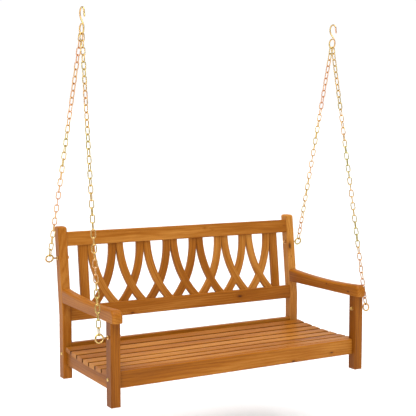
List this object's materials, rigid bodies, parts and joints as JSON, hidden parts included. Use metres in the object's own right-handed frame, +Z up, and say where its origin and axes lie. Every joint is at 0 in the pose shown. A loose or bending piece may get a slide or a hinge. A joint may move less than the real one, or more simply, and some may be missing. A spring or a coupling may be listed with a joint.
{
  "type": "porch swing",
  "caption": "Hanging slatted wooden bench seat with armrests and a curved lattice back, carried on chains from open S-hooks.",
  "frame": {"origin": "midway between the two points where the ceiling hooks carry the S-hooks", "axes": "+Z up, +X along the bench to its right-hand end as seen from the front, the front at -Y"},
  "size_m": [1.311, 0.6285, 1.5377],
  "materials": {
    "rail_wood": "oiled acacia, satin",
    "seat_wood": "oiled acacia, satin",
    "lattice_wood": "oiled acacia, satin",
    "yellow_zinc": "yellow zinc plated"
  },
  "bodies": {
    "hooks": {"s_hook_left": "yellow_zinc", "s_hook_right": "yellow_zinc"},
    "bench": {"armrest_left": "rail_wood", "armrest_right": "rail_wood", "chain_front_left": "yellow_zinc", "chain_front_right": "yellow_zinc", "chain_rear_left": "yellow_zinc", "chain_rear_right": "yellow_zinc", "end_slat_left": "lattice_wood", "end_slat_right": "lattice_wood", "eye_bolt_front_left": "yellow_zinc", "eye_bolt_front_right": "yellow_zinc", "eye_bolt_nut_front_left": "yellow_zinc", "eye_bolt_nut_front_right": "yellow_zinc", "eye_bolt_nut_rear_left": "yellow_zinc", "eye_bolt_nut_rear_right": "yellow_zinc", "eye_bolt_rear_left": "yellow_zinc", "eye_bolt_rear_right": "yellow_zinc", "eye_bolt_washer_front_left": "yellow_zinc", "eye_bolt_washer_front_right": "yellow_zinc", "eye_bolt_washer_rear_left": "yellow_zinc", "eye_bolt_washer_rear_right": "yellow_zinc", "front_post_left": "rail_wood", "front_post_right": "rail_wood", "front_rail": "rail_wood", "lattice_left_1": "lattice_wood", "lattice_left_2": "lattice_wood", "lattice_left_3": "lattice_wood", "lattice_left_4": "lattice_wood", "lattice_left_5": "lattice_wood", "lattice_left_6": "lattice_wood", "lattice_left_7": "lattice_wood", "lattice_right_1": "lattice_wood", "lattice_right_2": "lattice_wood", "lattice_right_3": "lattice_wood", "lattice_right_4": "lattice_wood", "lattice_right_5": "lattice_wood", "lattice_right_6": "lattice_wood", "lattice_right_7": "lattice_wood", "lower_back_rail": "rail_wood", "rail_bolt_front_left": "yellow_zinc", "rail_bolt_front_right": "yellow_zinc", "rail_bolt_rear_left": "yellow_zinc", "rail_bolt_rear_right": "yellow_zinc", "rear_post_left": "rail_wood", "rear_post_right": "rail_wood", "rear_rail": "rail_wood", "seat_bearer": "rail_wood", "seat_slat_1": "seat_wood", "seat_slat_2": "seat_wood", "seat_slat_3": "seat_wood", "seat_slat_4": "seat_wood", "seat_slat_5": "seat_wood", "seat_slat_6": "seat_wood", "seat_slat_7": "seat_wood", "side_rail_left": "rail_wood", "side_rail_right": "rail_wood", "top_rail": "rail_wood"}
  },
  "joints": [
    {"name": "swing", "type": "hinge", "parent": "hooks", "child": "bench", "pos_m": [0, 0, -0.08025], "axis": [1, 0, 0], "range_deg": [-25, 25]}
  ]
}
